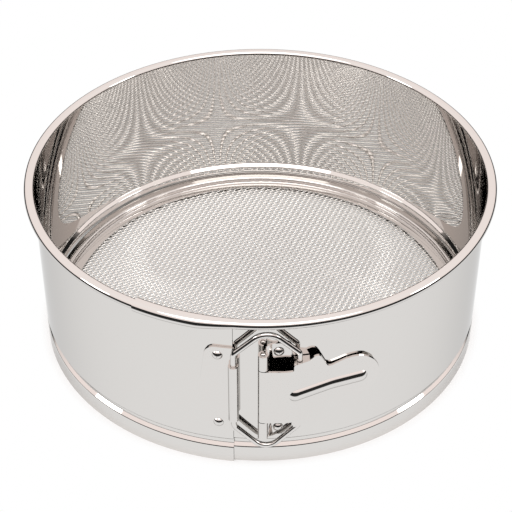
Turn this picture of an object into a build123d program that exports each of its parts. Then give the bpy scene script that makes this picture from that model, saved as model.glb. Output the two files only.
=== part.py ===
from build123d import *
import os
from math import asin, atan2, cos, degrees, hypot, radians, sin, sqrt, tan

# Clip-ring drum sieve: one polished strip coiled into an open-topped ring, its ends
# lapped at the front and pulled together by an over-centre clasp, with a woven mesh
# floor whose flange the ring grips just under the ridge pressed in near its foot.
# Millimetres. Origin on the table at the ring's centre, +Z up, clasp towards -Y.
# Angles called "bearing" are measured from -Y towards +X.

# ---- Ring strip ----
bore_r = 89.5               # inside radius of the closed ring
band_sheet = 0.5            # thickness of the strip
band_height = 72.5          # table to the top of the rolled rim
lap_clearance = 0.4         # air between the two lapped ends
strip_join_bearing = 150.0  # where the coil's two arcs run into each other
tongue_end_bearing = -29.0  # end of the inner (hidden) layer
flap_end_bearing = -6.3     # end of the outer layer: the seam under the clasp
wrap_end_bearing = -6.0     # where the tongue's wide rim has narrowed to the plain one
wrap_taper = 8.0            # angle over which it narrows
wrap_sections = 4           # sections of that taper
flap_rim_end_bearing = -15.0  # where the flap's own rolled rim is cut off
flap_rim_relief = 0.6       # drop of the flap's corner below the rim it leaves

# ---- Rolled rim and floor ridge ----
rim_width = 4.1             # radial width of the roll, from the bore
rim_roll_r = 1.55           # outside radius of the roll's bends
rim_tuck_angle = 33.0       # last bend, which tucks the sheet's edge in
wrap_clearance = 0.15       # air between the flap's rim and the rim rolled over it
wrap_tail = 0.5             # flat end of the wide rim under the flap's rim
ridge_depth = 1.5           # how far the ridge is pressed in, a groove from outside
ridge_bottom = 7.0          # lower foot of the ridge
ridge_top = 12.2            # upper foot
ridge_foot_r = 0.8          # bends at its feet and at its crest, inside the ring
ridge_crest_r = 1.0

# ---- Mesh floor ----
ring_sheet = 0.5
flange_clearance = 0.2      # air between the flange's edge and the ring
flange_drop = 0.7           # the flange lies this far under the foot of the ridge
flange_width = 3.5          # from the bore in to the floor's upright wall
ledge_top = 4.0             # step down, round the mesh
ledge_width = 4.8           # from the upright wall in to the open mesh
fold_r = 0.5                # inside radius of the floor's bends
snug = 0.05                 # air between pieces that are clamped or pressed together
mesh_wall = 0.4             # woven disc between its two layers of ridges
mesh_ridge_height = 0.25
mesh_ridge_width = 1.8
mesh_openings = 11          # openings across the mesh
mesh_bar = 4.0              # what is left between two openings
mesh_turn = 23.9            # how far the weave is turned from the X axis

# ---- Clasp, centred between ridge and rim; its heights are shares of that room ----
clasp_drop = 2.5            # the clasp's centre hangs this far below the middle of the room
half_room = (band_height - 2 * rim_roll_r - ridge_top) / 2
clasp_z = ridge_top + half_room - clasp_drop
plate_sheet = 0.8           # anchor, bracket and lever are all cut from this sheet
wire_r = 1.05               # bail wire
pin_r = 1.05                # hinge pin
running_clearance = 0.075   # wire and pin inside their rolled knuckles

anchor_tube_bearing = -6.0  # rolled tube over the seam
anchor_left_x = -22.6       # far left of the anchor plate's bowed edge
anchor_half_height = 0.727 * half_room
anchor_tube_half = 0.472 * half_room
anchor_corner_r = 4.0
anchor_bow = 2.6            # how far the free edge bows out between its corners
anchor_rivet_bearing = -9.8  # one rivet near each end of the tube
anchor_rivet_h = 0.594 * half_room

pin_x = 0.9                 # hinge pin, just right of the ring's centre line
pin_standoff = 3.2          # hinge pin's axis out from the ring's wall
pin_dome = 0.8              # rounded end that stands out of each knuckle
bracket_half_height = 0.801 * half_room
bracket_right_x = 11.6
bracket_corner_r = 3.0
bracket_neck_r = 0.5        # roundings where the plate steps out from its knuckles
bracket_neck_run = 1.0      # sideways run of that step
window_corner_r = 1.0       # inner corners of the window that the lever's tube turns in
window_margin = 0.5         # the window stops this far short of the rise
knuckle_high_h = 0.696 * half_room   # top of the upper knuckle
knuckle_low_h = -0.759 * half_room   # bottom of the lower one
knuckle_gap = 0.3           # between the lever's tube and each bracket knuckle
knuckle_roll_angle = 320.0        # how far round each knuckle is rolled
bracket_rise_x = 4.2        # the bracket lifts off the ring left of this
bracket_bend_r = 1.6
bracket_rivet_x = 6.5       # rivets above and below the lever
bracket_rivet_h = 0.668 * half_room

rivet_head_r = 1.95
rivet_head_height = 1.1
rivet_shank_r = 1.2
rivet_hole_clearance = 0.05
rivet_hole_reach = 4.7       # length of the cut through sheet and plate
rivet_tail_height = 0.5

# ---- Lever ----
lever_tube_half = 0.448 * half_room
lever_bend_x = 11.0         # the plate turns in towards the ring here
lever_landing_x = 26.0      # it meets the ring here and runs along it
lever_tip_bend_x = 36.5     # the finger tab turns out again here
lever_tip_x = 45.0
lever_tip_lift = 1.6        # the tip's height over the part that lies along the ring
lever_air = 0.6             # air under the part that lies along the ring
lever_bend_r = 14.0
lever_landing_r = 25.0
lever_tip_r = 30.0
ear_left_x = 12.0
ear_right_x = 20.8
ear_flange_right_x = 17.6
ear_notch_r = 0.6           # roundings of the ear where it steps out from the tube
ear_corner_r = 0.8
ear_tip_r = 2.0
ear_tip_rise = 2.3          # the ear's far corner stands above its flange
neck_x = 24.7
neck_half = 8.4
neck_r = 1.8                # rounding between the ear's slope and the tab
tab_x = 33.5
tab_r = 10.3
tab_shoulder_run = 2.0      # the neck's edges meet the tab this far left of its centre
tab_rise = 1.0              # the tab sits a little above the clasp's centre
rib_start_x = 13.2
rib_end_x = 36.8
rib_width = 5.4
rib_height = 1.3

# ---- Bail ----
bail_end_x = 14.0           # axis of the wire's two ends, at the lever's ears
bail_end_standoff = 2.6     # the ends' axis out from the ring's wall
bail_end_h = 0.559 * half_room  # both ends, above and below the clasp's centre
bail_ride = 1.2             # the bail's own middle sits this much above the clasp's centre
pivot_gap = 0.3             # between each wire end and its ear
bail_apex_x = 2.2
bail_apex_h = 1.063 * half_room
bail_apex_standoff = 3.05   # the apexes' axis out from the ring's wall
bail_shoulder_h = 0.626 * half_room  # bends beside the anchor's tube
bail_hook_over_end = 2.2    # from each end to the bend over the lever's ear
bail_apex_r = 6.0
bail_shoulder_r = 3.2
bail_hook_r = 1.7
ear_hole_clearance = 0.1
ear_ring_clearance = 0.4    # the ears' flanges stay this far off the ring

# ---- Worked out from the above ----
band_outer_r = bore_r + band_sheet
lap_step = band_sheet + lap_clearance
coil_shift = lap_step / 2
rim_base_z = band_height - rim_roll_r
wrap_roll_r = rim_roll_r + wrap_clearance + band_sheet
wrap_width = lap_step + rim_width + wrap_clearance + band_sheet
wrap_base_z = band_height + wrap_clearance + band_sheet - wrap_roll_r
flange_top = ridge_bottom - flange_drop
floor_wall_r = bore_r - flange_width
mesh_window_r = floor_wall_r - ledge_width
ledge_bottom = ledge_top - ring_sheet
mesh_r = floor_wall_r - ring_sheet - 2 * fold_r - snug
mesh_top = ledge_bottom - snug
mesh_bottom = mesh_top - mesh_wall - 2 * mesh_ridge_height
clamp_top = mesh_bottom - snug
knuckle_mid_r = pin_r + running_clearance + plate_sheet / 2
knuckle_outer_r = knuckle_mid_r + plate_sheet / 2
anchor_mid_r = bore_r + coil_shift + band_sheet + snug + plate_sheet / 2
anchor_axis_r = anchor_mid_r + knuckle_mid_r
pin_y = -sqrt((band_outer_r + pin_standoff) ** 2 - pin_x ** 2)
bracket_mid_r = band_outer_r + 2 * snug + plate_sheet / 2
lever_lie_r = band_outer_r + lever_air + plate_sheet / 2
lever_tip_radius_out = lever_lie_r - lever_air / 2 + lever_tip_lift
bracket_shoulder_x = bracket_rise_x - bracket_corner_r
ear_h = bail_end_h - pivot_gap
bail_hook_h = bail_end_h + bail_hook_over_end
ear_clear_r = band_outer_r + ear_ring_clearance
bail_apex_radius_out = band_outer_r + bail_apex_standoff
bail_end_y = -sqrt((band_outer_r + bail_end_standoff) ** 2 - bail_end_x ** 2)
rib_section_r = (rib_width ** 2 / 4 + rib_height ** 2) / (2 * rib_height)
rib_sink = rib_section_r - rib_height - plate_sheet / 2
coil_out = (1 - cos(radians(strip_join_bearing - anchor_rivet_bearing))) / 2
flap_inner_r = bore_r + lap_step * coil_out
anchor_seat_r = flap_inner_r + band_sheet + 2 * snug + plate_sheet
bracket_seat_r = bracket_mid_r + plate_sheet / 2 + 2 * snug
bracket_rivet_bearing = degrees(asin(bracket_rivet_x / bracket_mid_r))


# ---- Small tools ----
standing = (Align.CENTER, Align.CENTER, Align.MIN)
hanging = (Align.CENTER, Align.CENTER, Align.MAX)


def bearing(angle, radius, z=0.0):
    """Point at a bearing and radius round the ring's axis."""
    return (radius * sin(radians(angle)), -radius * cos(radians(angle)), z)


coil_centre = bearing(strip_join_bearing, -coil_shift)


def y_on_circle(radius, x):
    """Front (-Y) crossing of a circle round the ring's axis."""
    return -sqrt(radius ** 2 - x ** 2)


def y_between(a, b, x):
    """Height of the line through two points at x."""
    return a[1] + (b[1] - a[1]) * (x - a[0]) / (b[0] - a[0])


def run_edges(start, heading, moves, side):
    """Edges of a path of lines (length,) and arcs (radius, turn), set off sideways.

    Turns are in degrees, positive to the left; side is positive to the left too."""
    x, y = start
    facing = radians(heading)
    edges = []
    points = [(x - side * sin(facing), y + side * cos(facing))]
    for move in moves:
        if len(move) == 1:
            x += move[0] * cos(facing)
            y += move[0] * sin(facing)
            points.append((x - side * sin(facing), y + side * cos(facing)))
            edges.append(Edge.make_line(points[-2], points[-1]))
            continue
        radius, turn = move
        hand = 1 if turn > 0 else -1
        centre = (x - hand * radius * sin(facing), y + hand * radius * cos(facing))
        reach = hand * radius - side
        middle = facing + radians(turn) / 2
        facing += radians(turn)
        half_way = (centre[0] + reach * sin(middle), centre[1] - reach * cos(middle))
        x = centre[0] + hand * radius * sin(facing)
        y = centre[1] - hand * radius * cos(facing)
        points.append((centre[0] + reach * sin(facing), centre[1] - reach * cos(facing)))
        edges.append(Edge.make_three_point_arc(points[-2], half_way, points[-1]))
    return edges


def strip_face(start, heading, moves, right, left):
    """Face between two offsets of one path: a bent sheet seen edge on."""
    low = run_edges(start, heading, moves, right)
    high = run_edges(start, heading, moves, left)
    caps = [Edge.make_line(low[0] @ 0, high[0] @ 0), Edge.make_line(low[-1] @ 1, high[-1] @ 1)]
    return Face(Wire(low + high + caps))


def sheet_face(start, heading, moves, thickness):
    return strip_face(start, heading, moves, -thickness / 2, thickness / 2)


def moves_through(points, radii):
    """Heading and moves of a path through points, its corners rounded by radii."""
    legs = [(b[0] - a[0], b[1] - a[1]) for a, b in zip(points, points[1:])]
    headings = [degrees(atan2(dy, dx)) for dx, dy in legs]
    turns = [(after - before + 180) % 360 - 180 for before, after in zip(headings, headings[1:])]
    trims = [radius * tan(radians(abs(turn)) / 2) for radius, turn in zip(radii, turns)]
    starts = [0.0] + trims
    ends = trims + [0.0]
    moves = []
    for index, (dx, dy) in enumerate(legs):
        moves.append((hypot(dx, dy) - starts[index] - ends[index],))
        if index < len(turns):
            moves.append((radii[index], turns[index]))
    return headings[0], moves


def rounded_outline(corners):
    """Closed face through corners (x, y, rounding radius)."""
    edges = []
    first = None
    last = None
    for index, (x, y, radius) in enumerate(corners):
        before = Vector(*corners[index - 1][:2]) - Vector(x, y)
        after = Vector(*corners[(index + 1) % len(corners)][:2]) - Vector(x, y)
        half = radians(before.get_angle(after)) / 2
        trim = radius / tan(half)
        enter = Vector(x, y) + before.normalized() * trim
        leave = Vector(x, y) + after.normalized() * trim
        if last is not None:
            edges.append(Edge.make_line(last, enter))
        if radius > 0:
            inward = (before.normalized() + after.normalized()).normalized()
            middle = Vector(x, y) + inward * (radius / sin(half) - radius)
            edges.append(Edge.make_three_point_arc(enter, middle, leave))
        first = enter if first is None else first
        last = leave
    edges.append(Edge.make_line(last, first))
    return Face(Wire(edges))


def upright(face, low, high):
    """Prism of a plan-view face between two heights."""
    return Pos(0, 0, low) * extrude(face, amount=high - low, dir=(0, 0, 1))


def front_prism(face):
    """Prism along Y of a face drawn in x and height over the clasp's centre."""
    placed = Plane((0, 0, clasp_z), x_dir=(1, 0, 0), z_dir=(0, -1, 0)) * face
    return extrude(placed, amount=2 * bore_r, dir=(0, -1, 0))


def swept_ring(face, start_bearing, end_bearing):
    """Solid of revolution of a face drawn in radius and height."""
    placed = Rot(0, 0, start_bearing - 90) * (Plane.XZ * face)
    return revolve(placed, axis=Axis.Z, revolution_arc=end_bearing - start_bearing)


# ---- Ring strip ----
def strip_profile(wall_bore_r, top_z, rim_moves):
    """Section of the strip; its path is the inner face, which leans in at the ridge."""
    crest = wall_bore_r - ridge_depth
    points = [
        (wall_bore_r, 0.0),
        (wall_bore_r, ridge_bottom),
        (crest, ridge_bottom + ridge_depth),
        (crest, ridge_top - ridge_depth),
        (wall_bore_r, ridge_top),
        (wall_bore_r, top_z),
    ]
    radii = [ridge_foot_r, ridge_crest_r, ridge_crest_r, ridge_foot_r]
    heading, moves = moves_through(points, radii)
    return strip_face(points[0], heading, moves + rim_moves, -band_sheet, 0.0)


def wide_rim_profile(share):
    """Strip with its rim from plain (share 0) to wide enough to wrap the flap's (share 1)."""
    roll_r = rim_roll_r + share * (wrap_roll_r - rim_roll_r)
    flat = rim_width - 2 * rim_roll_r
    flat += share * (wrap_width - 2 * wrap_roll_r - flat)
    base_z = rim_base_z + share * (wrap_base_z - rim_base_z)
    rim = [(roll_r, -90.0), (flat,), (roll_r, -180.0), (wrap_tail,)]
    return strip_profile(bore_r, base_z, rim)


def make_band():
    plain_rim = [
        (rim_roll_r, -90.0),
        (rim_width - 2 * rim_roll_r,),
        (rim_roll_r, -180.0),
        (rim_width - 2 * rim_roll_r,),
        (rim_roll_r, -rim_tuck_angle),
    ]
    plain = strip_profile(bore_r, rim_base_z, plain_rim)
    outer_layer = strip_profile(bore_r + coil_shift, rim_base_z, plain_rim)
    corner_top = band_height - 2 * rim_roll_r - flap_rim_relief
    bare = strip_profile(bore_r + coil_shift, corner_top, [])

    inner_half = swept_ring(plain, wrap_end_bearing, strip_join_bearing)
    taper_bearing = wrap_end_bearing - wrap_taper
    tongue = swept_ring(wide_rim_profile(1.0), tongue_end_bearing, taper_bearing)
    sections = []
    for index in range(wrap_sections):
        share = index / (wrap_sections - 1)
        turn = Rot(0, 0, taper_bearing + share * wrap_taper - 90)
        sections.append(turn * (Plane.XZ * wide_rim_profile(1 - share)))
    tongue += loft(sections)
    outer_half = swept_ring(outer_layer, strip_join_bearing, 360 + flap_rim_end_bearing)
    flap_corner = swept_ring(bare, flap_rim_end_bearing, flap_end_bearing)
    lapping = Pos(*coil_centre) * (outer_half + flap_corner)
    band = inner_half + tongue + lapping
    for height in (-anchor_rivet_h, anchor_rivet_h):
        band -= rivet_hole(anchor_rivet_bearing, height, band_outer_r + lap_clearance / 2)
    for height in (-bracket_rivet_h, bracket_rivet_h):
        band -= rivet_hole(bracket_rivet_bearing, height, bore_r - band_sheet)
    return band


# ---- Mesh floor ----
def make_base_ring():
    mid = ring_sheet / 2
    corners = [
        (bore_r - flange_clearance, flange_top - mid),
        (floor_wall_r - mid, flange_top - mid),
        (floor_wall_r - mid, ledge_top - mid),
        (mesh_window_r, ledge_top - mid),
    ]
    heading, moves = moves_through(corners, [fold_r + mid, fold_r + mid])
    section = sheet_face(corners[0], heading, moves, ring_sheet)
    return swept_ring(section, 0.0, 360.0)


def make_clamp_ring():
    """Ring under the mesh, its rim turned up against the ledge."""
    mid = ring_sheet / 2
    bend_r = fold_r + mid
    flat = floor_wall_r - mid - bend_r - mesh_window_r
    upstand = ledge_bottom - snug - (clamp_top - mid) - bend_r
    moves = [(flat,), (bend_r, 90.0), (upstand,)]
    section = sheet_face((mesh_window_r, clamp_top - mid), 0.0, moves, ring_sheet)
    return swept_ring(section, 0.0, 360.0)


def mesh_ridges(low):
    """Parallel ridges along X, one on each bar between openings, cut to the disc."""
    pitch = 2 * mesh_window_r / mesh_openings
    ridges = []
    for index in range(-mesh_openings // 2, mesh_openings // 2 + 2):
        across = (index - 0.5) * pitch
        reach = abs(across) + mesh_ridge_width / 2
        if reach < mesh_r:
            length = 2 * sqrt(mesh_r ** 2 - reach ** 2)
            bar = Box(length, mesh_ridge_width, mesh_ridge_height, align=standing)
            ridges.append(Pos(0, across, low) * bar)
    return ridges


def make_mesh():
    """Woven disc: a wall with a grid of openings, warp ridges on top and weft ridges below."""
    pitch = 2 * mesh_window_r / mesh_openings
    gap = pitch - mesh_bar
    count = mesh_openings // 2
    window = Circle(mesh_window_r).face()
    wall = Circle(mesh_r)
    for column in range(-count, count + 1):
        for row in range(-count, count + 1):
            near_corner = hypot(abs(column) * pitch - gap / 2, abs(row) * pitch - gap / 2)
            if near_corner + mesh_bar / 2 < mesh_window_r:
                wall -= Pos(column * pitch, row * pitch) * Rectangle(gap, gap) & window
    disc = Pos(0, 0, mesh_bottom + mesh_ridge_height) * extrude(wall, amount=mesh_wall)
    weft = [Rot(0, 0, 90) * ridge for ridge in mesh_ridges(mesh_bottom)]
    warp = mesh_ridges(mesh_bottom + mesh_ridge_height + mesh_wall)
    return Rot(0, 0, mesh_turn) * (disc + weft + warp)


# ---- Rivets ----
def radial_plane(angle, height, radius):
    """Plane square to the ring's radius at a bearing, at a height over the clasp's centre."""
    outward = bearing(angle, 1.0)
    return Plane(bearing(angle, radius, clasp_z + height), x_dir=(0, 0, 1), z_dir=outward)


def rivet_hole(angle, height, from_r):
    hole_r = rivet_shank_r + rivet_hole_clearance
    hole = Cylinder(hole_r, rivet_hole_reach, align=standing)
    return radial_plane(angle, height, from_r) * hole


def make_rivet(angle, height, seat_r, inner_r, tail):
    """Domed rivet seated on a plate, through to the inside of the sheet behind it."""
    grip = seat_r - inner_r
    dome_r = (rivet_head_r ** 2 + rivet_head_height ** 2) / (2 * rivet_head_height)
    dome = Pos(0, 0, rivet_head_height - dome_r) * Sphere(dome_r)
    keep = Cylinder(rivet_head_r, rivet_head_height, align=standing)
    rivet = dome & keep
    rivet += Cylinder(rivet_shank_r, grip, align=hanging)
    if tail:
        rivet += Pos(0, 0, -grip) * Cylinder(rivet_head_r, rivet_tail_height, align=hanging)
    return radial_plane(angle, height, seat_r) * rivet


def rivet_pair(angle, height, seat_r, inner_r, tail):
    rivets = [make_rivet(angle, side * height, seat_r, inner_r, tail) for side in (-1, 1)]
    return Compound(rivets)


# ---- Anchor plate, on the flap ----
def anchor_axis():
    """Axis of the rolled tube that the bail turns in."""
    x, y, _ = bearing(anchor_tube_bearing, anchor_axis_r)
    return x + coil_centre[0], y + coil_centre[1]


def make_anchor_plate():
    left_bearing = -degrees(asin((anchor_bow - anchor_left_x) / anchor_mid_r))
    start = bearing(left_bearing, anchor_mid_r)[:2]
    lie = (anchor_mid_r, anchor_tube_bearing - left_bearing)
    plate_face = sheet_face(start, left_bearing, [lie], plate_sheet)
    tube_start = bearing(anchor_tube_bearing, anchor_mid_r)[:2]
    roll = [(knuckle_mid_r, -knuckle_roll_angle)]
    tube_face = sheet_face(tube_start, anchor_tube_bearing, roll, plate_sheet)
    plate = upright(plate_face, clasp_z - anchor_half_height, clasp_z + anchor_half_height)
    tube = upright(tube_face, clasp_z - anchor_tube_half, clasp_z + anchor_tube_half)

    corner_x = anchor_left_x + anchor_bow
    outline = rounded_outline([
        (0.0, -anchor_half_height, 0.0),
        (0.0, anchor_half_height, 0.0),
        (corner_x, anchor_half_height, anchor_corner_r),
        (anchor_left_x, 0.0, 2 * anchor_half_height),
        (corner_x, -anchor_half_height, anchor_corner_r),
    ])
    anchor = Pos(*coil_centre) * plate & front_prism(outline)
    anchor += Pos(*coil_centre) * tube
    for height in (-anchor_rivet_h, anchor_rivet_h):
        anchor -= rivet_hole(anchor_rivet_bearing, height, anchor_mid_r - plate_sheet)
    return anchor


# ---- Bracket, on the ring to the right of the seam ----
def make_bracket():
    tangent_y = pin_y + knuckle_mid_r
    points = [
        (bracket_right_x, y_on_circle(bracket_mid_r, bracket_right_x)),
        (bracket_rise_x, y_on_circle(bracket_mid_r, bracket_rise_x)),
        (pin_x + knuckle_mid_r, tangent_y),
        (pin_x, tangent_y),
    ]
    heading, moves = moves_through(points, [bracket_bend_r, bracket_bend_r])
    plate_face = sheet_face(points[0], heading, moves, plate_sheet)
    roll_face = sheet_face(points[-1], 180.0, [(knuckle_mid_r, knuckle_roll_angle)], plate_sheet)
    plate = upright(plate_face, clasp_z - bracket_half_height, clasp_z + bracket_half_height)
    outline = rounded_outline([
        (pin_x, knuckle_low_h, 0.0),
        (pin_x, knuckle_high_h, 0.0),
        (bracket_shoulder_x, knuckle_high_h, bracket_neck_r),
        (bracket_shoulder_x + bracket_neck_run, bracket_half_height, bracket_neck_r),
        (bracket_right_x, bracket_half_height, bracket_corner_r),
        (bracket_right_x, -bracket_half_height, bracket_corner_r),
        (bracket_shoulder_x + bracket_neck_run, -bracket_half_height, bracket_neck_r),
        (bracket_shoulder_x, knuckle_low_h, bracket_neck_r),
    ])
    bracket = plate & front_prism(outline)
    inner_h = lever_tube_half + knuckle_gap
    window_left_x = pin_x - 2 * knuckle_outer_r
    window_right_x = bracket_rise_x - window_margin
    window_face = rounded_outline([
        (window_left_x, -inner_h, 0.0),
        (window_left_x, inner_h, 0.0),
        (window_right_x, inner_h, window_corner_r),
        (window_right_x, -inner_h, window_corner_r),
    ])
    bracket += upright(roll_face, clasp_z + knuckle_low_h, clasp_z + knuckle_high_h)
    bracket -= front_prism(window_face)
    for height in (-bracket_rivet_h, bracket_rivet_h):
        bracket -= rivet_hole(bracket_rivet_bearing, height, bracket_mid_r - plate_sheet)
    return bracket


def make_hinge_pin():
    length = knuckle_high_h - knuckle_low_h + 2 * pin_dome
    middle = clasp_z + (knuckle_high_h + knuckle_low_h) / 2
    pin = Pos(pin_x, pin_y, middle) * Cylinder(pin_r, length)
    ends = pin.edges().filter_by(GeomType.CIRCLE)
    return fillet(ends, radius=pin_dome)


# ---- Lever ----
def lever_path():
    """Plan of the lever's sheet, from the crest of its tube to the finger tab."""
    crest_y = pin_y - knuckle_mid_r
    return [
        (pin_x, crest_y),
        (lever_bend_x, crest_y),
        (lever_landing_x, y_on_circle(lever_lie_r, lever_landing_x)),
        (lever_tip_bend_x, y_on_circle(lever_lie_r, lever_tip_bend_x)),
        (lever_tip_x, y_on_circle(lever_tip_radius_out, lever_tip_x)),
    ]


def lever_outline():
    """Front view: square tube end, two ears for the bail and a round finger tab."""
    neck_high = tab_rise + neck_half
    neck_low = tab_rise - neck_half
    tip_h = ear_h + ear_tip_rise
    shoulder_x = tab_x - tab_shoulder_run
    body = rounded_outline([
        (pin_x, -lever_tube_half, 0.0),
        (pin_x, lever_tube_half, 0.0),
        (ear_left_x, lever_tube_half, ear_notch_r),
        (ear_left_x, ear_h, ear_corner_r),
        (ear_flange_right_x, ear_h, ear_tip_r),
        (ear_right_x, tip_h, ear_tip_r),
        (neck_x, neck_high, neck_r),
        (shoulder_x, tab_rise + tab_r, 0.0),
        (tab_x, tab_rise, 0.0),
        (shoulder_x, tab_rise - tab_r, 0.0),
        (neck_x, neck_low, neck_r),
        (ear_right_x, -tip_h, ear_tip_r),
        (ear_flange_right_x, -ear_h, ear_tip_r),
        (ear_left_x, -ear_h, ear_corner_r),
        (ear_left_x, -lever_tube_half, ear_notch_r),
    ])
    return [body, Pos(tab_x, tab_rise) * Circle(tab_r).face()]


def ear_flange(side):
    """Ear bent back towards the ring, with the hole that takes the bail's end."""
    _, bend, landing = lever_path()[:3]
    inside_y = y_on_circle(bore_r, ear_flange_right_x)
    front = Polyline(
        (ear_left_x, inside_y),
        (ear_left_x, y_between(bend, landing, ear_left_x)),
        (ear_flange_right_x, y_between(bend, landing, ear_flange_right_x)),
        (ear_flange_right_x, inside_y),
        close=True,
    )
    face = make_face(front) - Circle(ear_clear_r)
    hole_r = wire_r + ear_hole_clearance
    face -= Pos(bail_end_x, bail_end_y) * Circle(hole_r)
    middle = clasp_z + side * (ear_h - plate_sheet / 2)
    return upright(face, middle - plate_sheet / 2, middle + plate_sheet / 2)


def rib_body(section_r, heading, moves, start):
    """Round bar with ball ends, sunk behind the lever's sheet."""
    edges = run_edges(start, heading, moves, rib_sink)
    path = Pos(0, 0, clasp_z + tab_rise / 2) * Wire(edges)
    first = path @ 0
    last = path @ 1
    profile = Plane(first, z_dir=path % 0) * Circle(section_r)
    bar = sweep(profile, path=path)
    return bar + Pos(*first) * Sphere(section_r) + Pos(*last) * Sphere(section_r)


def make_lever():
    points = lever_path()
    heading, moves = moves_through(points, [lever_bend_r, lever_landing_r, lever_tip_r])
    plate_face = sheet_face(points[0], heading, moves, plate_sheet)
    outside_face = strip_face(points[0], heading, moves, -2 * rib_height, -plate_sheet / 2)
    top = ear_h + ear_tip_rise
    plate = upright(plate_face, clasp_z - top, clasp_z + top)
    body, tab = lever_outline()
    lever = plate & (front_prism(body) + front_prism(tab))

    roll_face = sheet_face(points[0], 180.0, [(knuckle_mid_r, -knuckle_roll_angle)], plate_sheet)
    lever += upright(roll_face, clasp_z - lever_tube_half, clasp_z + lever_tube_half)
    for side in (-1, 1):
        lever += ear_flange(side)

    _, bend, landing, tip_bend, _ = points
    rib_start = (rib_start_x, y_between(bend, landing, rib_start_x))
    rib_end = (rib_end_x, y_between(landing, tip_bend, rib_end_x))
    rib_heading, rib_moves = moves_through([rib_start, landing, rib_end], [lever_landing_r])
    outside = upright(outside_face, clasp_z - top, clasp_z + top)
    bar = rib_body(rib_section_r, rib_heading, rib_moves, rib_start)
    hollow = rib_body(rib_section_r - plate_sheet, rib_heading, rib_moves, rib_start)
    lever += bar & outside
    return lever - hollow


# ---- Bail ----
def make_bail():
    axis_x, axis_y = anchor_axis()
    upper = [
        (axis_x, axis_y, clasp_z + bail_shoulder_h),
        (bail_apex_x, y_on_circle(bail_apex_radius_out, bail_apex_x), clasp_z + bail_apex_h),
        (bail_end_x, bail_end_y, clasp_z + bail_hook_h),
        (bail_end_x, bail_end_y, clasp_z + bail_end_h - bail_ride),
    ]
    lower = [(x, y, 2 * clasp_z - z) for x, y, z in reversed(upper)]
    lower[0] = (bail_end_x, bail_end_y, clasp_z - bail_end_h - bail_ride)
    radii = [bail_hook_r, bail_apex_r, bail_shoulder_r, bail_shoulder_r, bail_apex_r, bail_hook_r]
    path = Pos(0, 0, bail_ride) * FilletPolyline(*(lower + upper), radius=radii)
    section = Plane(path @ 0, z_dir=path % 0) * Circle(wire_r)
    return sweep(section, path=path)


os.makedirs("parts", exist_ok=True)

parts = {
    "band": make_band(),
    "base_ring": make_base_ring(),
    "mesh": make_mesh(),
    "clamp_ring": make_clamp_ring(),
    "anchor_plate": make_anchor_plate(),
    "anchor_rivets": rivet_pair(anchor_rivet_bearing, anchor_rivet_h, anchor_seat_r, flap_inner_r, False),
    "bracket": make_bracket(),
    "bracket_rivets": rivet_pair(bracket_rivet_bearing, bracket_rivet_h, bracket_seat_r, bore_r - snug, True),
    "hinge_pin": make_hinge_pin(),
    "lever": make_lever(),
    "bail": make_bail(),
}
for name, solid in parts.items():
    export_step(solid, f"parts/{name}.step")
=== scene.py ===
from math import atan2, ceil, cos, degrees, hypot, radians, sin, tan

import bpy
import numpy as np
from mathutils import Matrix, Vector


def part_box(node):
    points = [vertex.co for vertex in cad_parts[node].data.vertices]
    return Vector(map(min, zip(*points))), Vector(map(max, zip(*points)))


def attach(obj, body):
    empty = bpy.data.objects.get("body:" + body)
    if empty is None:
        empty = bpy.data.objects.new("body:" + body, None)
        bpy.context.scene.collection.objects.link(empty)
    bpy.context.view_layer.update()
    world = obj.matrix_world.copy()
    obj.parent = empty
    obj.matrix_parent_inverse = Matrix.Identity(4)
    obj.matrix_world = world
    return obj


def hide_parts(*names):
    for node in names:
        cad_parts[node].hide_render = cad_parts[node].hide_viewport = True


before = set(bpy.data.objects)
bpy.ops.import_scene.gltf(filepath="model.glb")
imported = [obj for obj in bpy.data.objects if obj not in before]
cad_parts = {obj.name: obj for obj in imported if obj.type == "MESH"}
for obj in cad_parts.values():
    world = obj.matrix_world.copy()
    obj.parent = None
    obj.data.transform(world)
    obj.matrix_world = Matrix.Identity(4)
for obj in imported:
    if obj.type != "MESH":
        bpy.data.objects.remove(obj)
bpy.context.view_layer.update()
MM = 0.001

# ---- Camera: the photograph's viewpoint ----
camera_distance = 624.86 * MM
camera_elevation = 0.71535     # radians above the table
camera_pan = -0.00343
camera_tilt = 0.03462
camera_roll = -0.00308
camera_focal = 1449.6          # in pixels of the 512-pixel frame
frame_pixels = 512
sensor_width = 36.0

# ---- Surroundings that the steel mirrors ----
table_back = 0.05              # the table's bright part is centred this far behind the ring
table_bright_r = 0.225         # polished steel sees a white table out to here
table_dark_r = 0.29            # and a dark room from here
table_dark_level = 0.03
table_half_width = 1.5
table_colour = (0.85, 0.85, 0.85)
contact_reach = 4 * MM         # the table darkens this near to the steel
contact_samples = 8
under_r = 0.084                # the table under the woven floor is in its shade
under_edge = 2 * MM
under_level = 0.62
room_level = 1.18
front_darkness = 0.41          # how much higher the dark stands in front than behind
room_colours = [               # by height on the unit sphere
    (-1.0, (0.02, 0.02, 0.02)),
    (0.08, (0.02, 0.02, 0.02)),
    (0.14, (0.80, 0.74, 0.72)),
    (0.30, (1.0, 0.89, 0.86)),
    (1.0, (1.0, 0.95, 0.93)),
]
top_box_place = (0, -0.5, 1.4)
top_box_size = (1.6, 1.0)
top_box_power = 8              # watts
side_box_place = (1.29, -0.29, 0.71)
side_box_size = (0.35, 0.5)
side_box_power = 2.0

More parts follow.
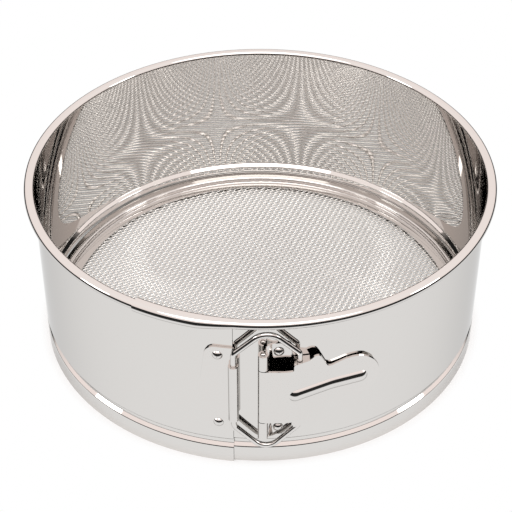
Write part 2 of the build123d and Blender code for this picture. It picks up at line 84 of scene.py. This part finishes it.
# ---- Ring strip, as in the CAD, in millimetres and degrees ----
bore_r = 89.5
band_sheet = 0.5
band_height = 72.5
lap_step = 0.9
coil_shift = lap_step / 2
strip_join = 150.0
tongue_end = -29.0
flap_end = -6.3
wrap_end = -6.0
wrap_taper = 8.0
flap_rim_end = -15.0
flap_rim_relief = 0.6
rim_width = 4.1
rim_roll_r = 1.55
rim_tuck_angle = 33.0
wrap_clearance = 0.15
wrap_tail = 0.5
ridge_depth = 1.5
ridge_bottom = 7.0
ridge_top = 12.2
ridge_foot_r = 0.8
ridge_crest_r = 1.0
rim_base_z = band_height - rim_roll_r
wrap_roll_r = rim_roll_r + wrap_clearance + band_sheet
wrap_width = lap_step + rim_width + wrap_clearance + band_sheet
wrap_base_z = band_height + wrap_clearance + band_sheet - wrap_roll_r
arc_step = 7.5                 # facets of the bends
sweep_step = 1.0               # facets round the ring

# ---- Wires of the woven floor ----
wire_pitch = 1.655 * MM
wire_d = 0.5 * MM
weave_turn = 23.9              # degrees from the X axis
weave_lift = 0.2 * MM          # how far a wire rises and dips over its neighbours
disc_low, disc_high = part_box("mesh")
weave_mid_z = (disc_low[2] + disc_high[2]) / 2
weave_edge_gap = 0.2 * MM
weave_radius = disc_high[0] - weave_edge_gap
wire_sides = 6


# ---- Polished steel ----
edge_tint = (0.72, 0.72, 0.72)  # of what the steel mirrors at a glancing angle
grain_depth = 0.02 * MM
band_grain = (60, 60, 1500)    # noise per metre along X, Y and Z: lines round the ring
floor_grain = (200, 200, 6000)
fine_grain = (900, 900, 900)
smudge_density = 60.0
smudge_low = 0.35              # of the noise that the smudges follow
smudge_high = 0.75
smudge_share = 0.3             # of the roughness


def new_material(name):
    material = bpy.data.materials.new(name)
    material.use_nodes = True
    tree = material.node_tree
    tree.nodes.clear()
    return material, tree


def add(tree, kind, **values):
    """New node; values are set on its sockets by name or on the node itself."""
    node = tree.nodes.new(kind)
    for key, value in values.items():
        if key in node.inputs:
            node.inputs[key].default_value = value
        else:
            setattr(node, key, value)
    return node


def join(tree, source, output, target, entry):
    tree.links.new(source.outputs[output], target.inputs[entry])


def steel(name, colour, roughness, grain_density, grain_strength):
    """Polished stainless steel: faint rolling lines, and smudges in its gloss."""
    material, tree = new_material(name)
    out = add(tree, "ShaderNodeOutputMaterial")
    shader = add(tree, "ShaderNodeBsdfPrincipled")
    shader.inputs["Base Color"].default_value = (*colour, 1.0)
    shader.inputs["Metallic"].default_value = 1.0
    shader.inputs["Specular Tint"].default_value = (*edge_tint, 1.0)
    shader.inputs["Roughness"].default_value = roughness
    join(tree, shader, "BSDF", out, "Surface")

    place = add(tree, "ShaderNodeTexCoord")
    stretch = add(tree, "ShaderNodeMapping")
    stretch.inputs["Scale"].default_value = grain_density
    join(tree, place, "Object", stretch, "Vector")
    lines = add(tree, "ShaderNodeTexNoise", Scale=1.0, Detail=3.0, Roughness=0.7)
    join(tree, stretch, "Vector", lines, "Vector")
    bump = add(tree, "ShaderNodeBump", Strength=grain_strength, Distance=grain_depth)
    join(tree, lines, "Fac", bump, "Height")
    join(tree, bump, "Normal", shader, "Normal")

    smudges = add(tree, "ShaderNodeTexNoise", Scale=smudge_density, Detail=5.0, Roughness=0.6)
    join(tree, place, "Object", smudges, "Vector")
    gloss = add(tree, "ShaderNodeMapRange")
    gloss.inputs["From Min"].default_value = smudge_low
    gloss.inputs["From Max"].default_value = smudge_high
    gloss.inputs["To Min"].default_value = roughness * (1 - smudge_share)
    gloss.inputs["To Max"].default_value = roughness * (1 + smudge_share)
    join(tree, smudges, "Fac", gloss, "Value")
    join(tree, gloss, "Result", shader, "Roughness")
    return material


def dress(node, material):
    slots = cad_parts[node].data.materials
    slots.clear()
    slots.append(material)


# ---- Woven floor ----
def weave_wires(name, direction, material):
    """Wires of one direction, in degrees from the X axis; each goes over and under in turn."""
    along = np.array([cos(radians(direction)), sin(radians(direction)), 0.0])
    across = np.array([-along[1], along[0], 0.0])
    half_count = int(weave_radius / wire_pitch)
    rings = []
    faces = []
    first = 0
    turn = np.arange(wire_sides) * 2 * np.pi / wire_sides
    for index in range(-half_count, half_count + 1):
        offset = (index + 0.5) * wire_pitch
        if abs(offset) > weave_radius - wire_d:
            continue
        reach = np.sqrt(weave_radius ** 2 - offset ** 2)
        steps = int(reach / (wire_pitch / 2))
        at = np.arange(-steps, steps + 1) * wire_pitch / 2
        phase = np.pi * at / wire_pitch
        swing = (-1) ** index * weave_lift
        lift = swing * np.sin(phase)
        slope = swing * np.pi / wire_pitch * np.cos(phase)
        centre = np.outer(at, along) + across * offset
        centre[:, 2] = weave_mid_z + lift
        tangent = along[None, :] + np.outer(slope, (0, 0, 1.0))
        tangent /= np.linalg.norm(tangent, axis=1)[:, None]
        upward = np.cross(tangent, across[None, :].repeat(len(at), 0))
        ring = centre[:, None, :] + wire_d / 2 * (
            np.cos(turn)[None, :, None] * across[None, None, :]
            + np.sin(turn)[None, :, None] * upward[:, None, :]
        )
        rings.append(ring.reshape(-1, 3))
        count = len(at)
        grid = first + np.arange(count * wire_sides).reshape(count, wire_sides)
        low = grid[:-1]
        high = grid[1:]
        quads = np.stack([low, np.roll(low, -1, 1), np.roll(high, -1, 1), high], -1)
        faces.append(quads.reshape(-1, 4))
        first += count * wire_sides
    points = np.concatenate(rings)
    quads = np.concatenate(faces)
    mesh = bpy.data.meshes.new(name)
    mesh.from_pydata(points.tolist(), [], quads.tolist())
    mesh.polygons.foreach_set("use_smooth", [True] * len(quads))
    mesh.materials.append(material)
    mesh.update()
    piece = bpy.data.objects.new(name, mesh)
    bpy.context.scene.collection.objects.link(piece)
    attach(piece, "ring")
    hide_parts("mesh")


# ---- Ring strip: the CAD's section, swept in finer steps than its own facets ----
def bearing(angle, radius, z=0.0):
    """Point at an angle from -Y towards +X."""
    return (radius * sin(radians(angle)), -radius * cos(radians(angle)), z)


def walk(start, heading, moves):
    """Points (x, y, facing) along a path of lines (length,) and arcs (radius, turn)."""
    x, y = start
    facing = radians(heading)
    points = [(x, y, facing)]
    for move in moves:
        if len(move) == 1:
            x += move[0] * cos(facing)
            y += move[0] * sin(facing)
            points.append((x, y, facing))
            continue
        radius, turn = move
        hand = 1 if turn > 0 else -1
        centre = (x - hand * radius * sin(facing), y + hand * radius * cos(facing))
        steps = ceil(abs(turn) / arc_step)
        for step in range(1, steps + 1):
            at = facing + radians(turn) * step / steps
            x = centre[0] + hand * radius * sin(at)
            y = centre[1] - hand * radius * cos(at)
            points.append((x, y, at))
        facing = at
    return points


def moves_through(points, radii):
    """Heading and moves of a path through points, its corners rounded by radii."""
    legs = [(b[0] - a[0], b[1] - a[1]) for a, b in zip(points, points[1:])]
    headings = [degrees(atan2(dy, dx)) for dx, dy in legs]
    turns = [(after - before + 180) % 360 - 180 for before, after in zip(headings, headings[1:])]
    trims = [radius * tan(radians(abs(turn)) / 2) for radius, turn in zip(radii, turns)]
    starts = [0.0] + trims
    ends = trims + [0.0]
    moves = []
    for index, (dx, dy) in enumerate(legs):
        moves.append((hypot(dx, dy) - starts[index] - ends[index],))
        if index < len(turns):
            moves.append((radii[index], turns[index]))
    return headings[0], moves


class Sheets:
    """Mesh of swept sheets with exact normals."""

    def __init__(self):
        self.points = []
        self.faces = []
        self.normals = []

    def face(self, corners, normals):
        self.faces.append(corners)
        self.normals.extend(normals)

    def sweep(self, section, first, last, centre=(0.0, 0.0)):
        """Strip whose inner face is the path section(share), from one bearing to another."""
        count = max(1, ceil((last - first) / sweep_step))
        rows = []
        for index in range(count + 1):
            share = index / count
            angle = first + share * (last - first)
            row = []
            for side in (0.0, -band_sheet):
                line = []
                for x, y, facing in section(share):
                    out = (-sin(facing), cos(facing))
                    place = bearing(angle, x + side * out[0], y + side * out[1])
                    spot = len(self.points)
                    self.points.append((place[0] + centre[0], place[1] + centre[1], place[2]))
                    outward = bearing(angle, out[0], out[1])
                    onward = bearing(angle, cos(facing), sin(facing))
                    line.append((spot, outward, onward))
                row.append(line)
            rows.append((row, bearing(angle + 90, 1.0)))
        for (low, _), (high, _) in zip(rows, rows[1:]):
            for side, flip in ((0, 1), (1, -1)):
                for a, b, c, d in zip(low[side], high[side], high[side][1:], low[side][1:]):
                    quad = (d, c, b, a) if flip > 0 else (a, b, c, d)
                    normals = [tuple(flip * k for k in v[1]) for v in quad]
                    self.face([v[0] for v in quad], normals)
            for end, flip in ((0, -1), (-1, 1)):
                quad = (low[0][end], high[0][end], high[1][end], low[1][end])
                quad = quad if flip < 0 else quad[::-1]
                normals = [tuple(flip * k for k in v[2]) for v in quad]
                self.face([v[0] for v in quad], normals)
        for (row, along), flip in ((rows[0], -1), (rows[-1], 1)):
            outline = [v[0] for v in row[0]] + [v[0] for v in reversed(row[1])]
            outline = outline if flip > 0 else outline[::-1]
            self.face(outline, [tuple(flip * k for k in along)] * len(outline))

    def piece(self, name, body, node, slot, material):
        mesh = bpy.data.meshes.new(name)
        mesh.from_pydata([[k * MM for k in point] for point in self.points], [], self.faces)
        mesh.polygons.foreach_set("use_smooth", [True] * len(self.faces))
        mesh.normals_split_custom_set(self.normals)
        mesh.materials.append(material)
        made = bpy.data.objects.new(name, mesh)
        bpy.context.scene.collection.objects.link(made)
        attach(made, body)
        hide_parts(node)


def strip_section(wall_r, top_z, rim_moves):
    """Inner face of the strip, from the table up, with its ridge and rim."""
    crest = wall_r - ridge_depth
    points = [
        (wall_r, 0.0),
        (wall_r, ridge_bottom),
        (crest, ridge_bottom + ridge_depth),
        (crest, ridge_top - ridge_depth),
        (wall_r, ridge_top),
        (wall_r, top_z),
    ]
    radii = [ridge_foot_r, ridge_crest_r, ridge_crest_r, ridge_foot_r]
    heading, moves = moves_through(points, radii)
    return walk(points[0], heading, moves + rim_moves)


def wide_section(share):
    """Strip whose rim is wide enough to wrap the flap's at share 0, and plain at share 1."""
    wide = 1 - share
    roll_r = rim_roll_r + wide * (wrap_roll_r - rim_roll_r)
    flat = rim_width - 2 * rim_roll_r
    flat += wide * (wrap_width - 2 * wrap_roll_r - flat)
    base_z = rim_base_z + wide * (wrap_base_z - rim_base_z)
    rim_moves = [(roll_r, -90.0), (flat,), (roll_r, -180.0), (wrap_tail,)]
    return strip_section(bore_r, base_z, rim_moves)


def make_band(material):
    """The strip: a plain stretch, the outer lap with its bare end, and the wide inner lap."""
    rim_flat = rim_width - 2 * rim_roll_r
    plain_rim = [
        (rim_roll_r, -90.0),
        (rim_flat,),
        (rim_roll_r, -180.0),
        (rim_flat,),
        (rim_roll_r, -rim_tuck_angle),
    ]
    plain = strip_section(bore_r, rim_base_z, plain_rim)
    outer_layer = strip_section(bore_r + coil_shift, rim_base_z, plain_rim)
    bare_top_z = band_height - 2 * rim_roll_r - flap_rim_relief
    bare = strip_section(bore_r + coil_shift, bare_top_z, [])
    wide = wide_section(0.0)
    coil_centre = bearing(strip_join, -coil_shift)[:2]
    strip = Sheets()
    strip.sweep(lambda share: plain, wrap_end, strip_join)
    strip.sweep(lambda share: outer_layer, strip_join, 360 + flap_rim_end, coil_centre)
    strip.sweep(lambda share: bare, flap_rim_end, flap_end, coil_centre)
    strip.sweep(lambda share: wide, tongue_end, wrap_end - wrap_taper)
    strip.sweep(wide_section, wrap_end - wrap_taper, wrap_end)
    strip.piece("ring_strip", "ring", "band", "band_steel", material)


# ---- Studio ----
def make_world():
    """Dark room low down, higher in front; warm pale above. The camera sees it white."""
    world = bpy.data.worlds.new("studio")
    bpy.context.scene.world = world
    world.use_nodes = True
    tree = world.node_tree
    tree.nodes.clear()
    out = add(tree, "ShaderNodeOutputWorld")
    room = add(tree, "ShaderNodeBackground", Strength=room_level)
    white = add(tree, "ShaderNodeBackground", Strength=1.0, Color=(1, 1, 1, 1))
    mix = add(tree, "ShaderNodeMixShader")
    path = add(tree, "ShaderNodeLightPath")
    seen = add(tree, "ShaderNodeMath", operation="MAXIMUM")
    join(tree, path, "Is Camera Ray", seen, 0)
    join(tree, path, "Is Transmission Ray", seen, 1)
    join(tree, seen, 0, mix, 0)
    join(tree, room, 0, mix, 1)
    join(tree, white, 0, mix, 2)
    join(tree, mix, 0, out, "Surface")

    place = add(tree, "ShaderNodeTexCoord")
    parts = add(tree, "ShaderNodeSeparateXYZ")
    join(tree, place, "Generated", parts, 0)
    ahead = add(tree, "ShaderNodeMath", operation="MULTIPLY")
    ahead.inputs[1].default_value = -front_darkness
    join(tree, parts, "Y", ahead, 0)
    in_front = add(tree, "ShaderNodeMath", operation="MAXIMUM")
    in_front.inputs[1].default_value = 0.0
    join(tree, ahead, 0, in_front, 0)
    level = add(tree, "ShaderNodeMath", operation="SUBTRACT")
    join(tree, parts, "Z", level, 0)
    join(tree, in_front, 0, level, 1)
    half = add(tree, "ShaderNodeMapRange")
    half.inputs["From Min"].default_value = -1.0
    join(tree, level, 0, half, "Value")
    ramp = add(tree, "ShaderNodeValToRGB")
    join(tree, half, "Result", ramp, "Fac")
    join(tree, ramp, "Color", room, "Color")
    stops = ramp.color_ramp.elements
    stops.remove(stops[1])
    stops[0].color = (*room_colours[0][1], 1.0)
    for height, colour in room_colours[1:]:
        stops.new((height + 1) / 2).color = (*colour, 1.0)


def make_floor():
    """White table, darker close to the steel and under the woven floor; it fades far out
    for all rays but the camera's."""
    mesh = bpy.data.meshes.new("studio_floor")
    ends = (-table_half_width, table_half_width)
    corners = [(x, y, 0) for x in ends for y in ends]
    mesh.from_pydata(corners, [], [(0, 2, 3, 1)])
    floor = bpy.data.objects.new("studio_floor", mesh)
    bpy.context.scene.collection.objects.link(floor)
    material, tree = new_material("floor_white")
    mesh.materials.append(material)

    # white glow for the rays that show the table, plain matt white for the rest
    out = add(tree, "ShaderNodeOutputMaterial")
    matt = add(tree, "ShaderNodeBsdfDiffuse", Color=(*table_colour, 1))
    glow = add(tree, "ShaderNodeEmission", Color=(1, 1, 1, 1))
    mix = add(tree, "ShaderNodeMixShader")
    join(tree, matt, 0, mix, 1)
    join(tree, glow, 0, mix, 2)
    join(tree, mix, 0, out, "Surface")
    path = add(tree, "ShaderNodeLightPath")
    direct = add(tree, "ShaderNodeMath", operation="MAXIMUM")
    join(tree, path, "Is Camera Ray", direct, 0)
    join(tree, path, "Is Glossy Ray", direct, 1)
    showing = add(tree, "ShaderNodeMath", operation="MAXIMUM")
    join(tree, direct, 0, showing, 0)
    join(tree, path, "Is Transmission Ray", showing, 1)

    # the glow gives way where the steel is near
    near = add(tree, "ShaderNodeAmbientOcclusion", Distance=contact_reach, samples=contact_samples)
    share = add(tree, "ShaderNodeMath", operation="MULTIPLY")
    join(tree, showing, 0, share, 0)
    join(tree, near, "AO", share, 1)
    join(tree, share, 0, mix, 0)

    # fade with the distance from the bright part's middle, not for the camera
    place = add(tree, "ShaderNodeTexCoord")
    from_bright = add(tree, "ShaderNodeVectorMath", operation="SUBTRACT")
    from_bright.inputs[1].default_value = (0, table_back, 0)
    join(tree, place, "Object", from_bright, 0)
    bright_distance = add(tree, "ShaderNodeVectorMath", operation="LENGTH")
    join(tree, from_bright, "Vector", bright_distance, 0)
    fade = add(tree, "ShaderNodeMapRange", interpolation_type="SMOOTHSTEP")
    fade.inputs["From Min"].default_value = table_bright_r
    fade.inputs["From Max"].default_value = table_dark_r
    fade.inputs["To Min"].default_value = 1.0
    fade.inputs["To Max"].default_value = table_dark_level
    join(tree, bright_distance, "Value", fade, "Value")
    shown = add(tree, "ShaderNodeMath", operation="MAXIMUM")
    join(tree, path, "Is Camera Ray", shown, 0)
    join(tree, fade, "Result", shown, 1)

    # shade under the woven floor
    ring_distance = add(tree, "ShaderNodeVectorMath", operation="LENGTH")
    join(tree, place, "Object", ring_distance, 0)
    under = add(tree, "ShaderNodeMapRange")
    under.inputs["From Min"].default_value = under_r
    under.inputs["From Max"].default_value = under_r + under_edge
    under.inputs["To Min"].default_value = under_level
    under.inputs["To Max"].default_value = 1.0
    join(tree, ring_distance, "Value", under, "Value")
    lit = add(tree, "ShaderNodeMath", operation="MULTIPLY")
    join(tree, shown, 0, lit, 0)
    join(tree, under, "Result", lit, 1)
    join(tree, lit, 0, glow, "Strength")


def softbox(name, place, size, power):
    """Soft light aimed at the middle of the ring's foot, not seen by the camera."""
    data = bpy.data.lights.new(name, "AREA")
    data.shape = "ELLIPSE"
    data.size, data.size_y = size
    data.energy = power
    lamp = bpy.data.objects.new(name, data)
    lamp.location = place
    lamp.rotation_mode = "QUATERNION"
    lamp.rotation_quaternion = (-Vector(place)).to_track_quat("-Z", "Y")
    lamp.visible_camera = False
    bpy.context.scene.collection.objects.link(lamp)


def make_camera():
    data = bpy.data.cameras.new("photo_camera")
    data.sensor_width = sensor_width
    data.lens = camera_focal / frame_pixels * sensor_width
    camera = bpy.data.objects.new("photo_camera", data)
    place = camera_distance * Vector((0, -cos(camera_elevation), sin(camera_elevation)))
    ahead = -place.normalized()
    right = Vector((1, 0, 0))
    aim = np.array([right, right.cross(ahead), ahead])
    pan_cos, pan_sin = cos(camera_pan), sin(camera_pan)
    tilt_cos, tilt_sin = cos(camera_tilt), sin(camera_tilt)
    roll_cos, roll_sin = cos(camera_roll), sin(camera_roll)
    pan = np.array([[pan_cos, 0, -pan_sin], [0, 1, 0], [pan_sin, 0, pan_cos]])
    tilt = np.array([[1, 0, 0], [0, tilt_cos, -tilt_sin], [0, tilt_sin, tilt_cos]])
    roll = np.array([[roll_cos, -roll_sin, 0], [roll_sin, roll_cos, 0], [0, 0, 1]])
    axes = roll @ tilt @ pan @ aim
    turn = Matrix((axes[0], axes[1], -axes[2])).transposed().to_4x4()
    camera.matrix_world = Matrix.Translation(place) @ turn
    bpy.context.scene.collection.objects.link(camera)
    bpy.context.scene.camera = camera


# ---- Pieces and their materials ----
band_steel = steel("band_steel", (0.702, 0.684, 0.664), 0.03, band_grain, 0.04)
floor_steel = steel("floor_steel", (0.70, 0.684, 0.666), 0.05, floor_grain, 0.08)
clasp_steel = steel("clasp_steel", (0.705, 0.685, 0.665), 0.07, fine_grain, 0.06)
rivet_steel = steel("rivet_steel", (0.70, 0.68, 0.66), 0.08, fine_grain, 0.05)
bail_wire = steel("bail_wire", (0.71, 0.69, 0.67), 0.06, fine_grain, 0.05)
mesh_wire = steel("mesh_wire", (0.86, 0.85, 0.825), 0.14, fine_grain, 0.05)

make_band(band_steel)
for ring in ("base_ring", "clamp_ring"):
    dress(ring, floor_steel)
for plate in ("anchor_plate", "bracket", "lever"):
    dress(plate, clasp_steel)
for pin in ("anchor_rivets", "bracket_rivets", "hinge_pin"):
    dress(pin, rivet_steel)
dress("bail", bail_wire)
weave_wires("weave_warp", weave_turn, mesh_wire)
weave_wires("weave_weft", weave_turn + 90, mesh_wire)

make_world()
make_floor()
make_camera()
softbox("top_box", top_box_place, top_box_size, top_box_power)
for name, side in (("left_box", -1), ("right_box", 1)):
    place = (side * side_box_place[0], *side_box_place[1:])
    softbox(name, place, side_box_size, side_box_power)
bpy.context.scene.view_settings.view_transform = "Standard"
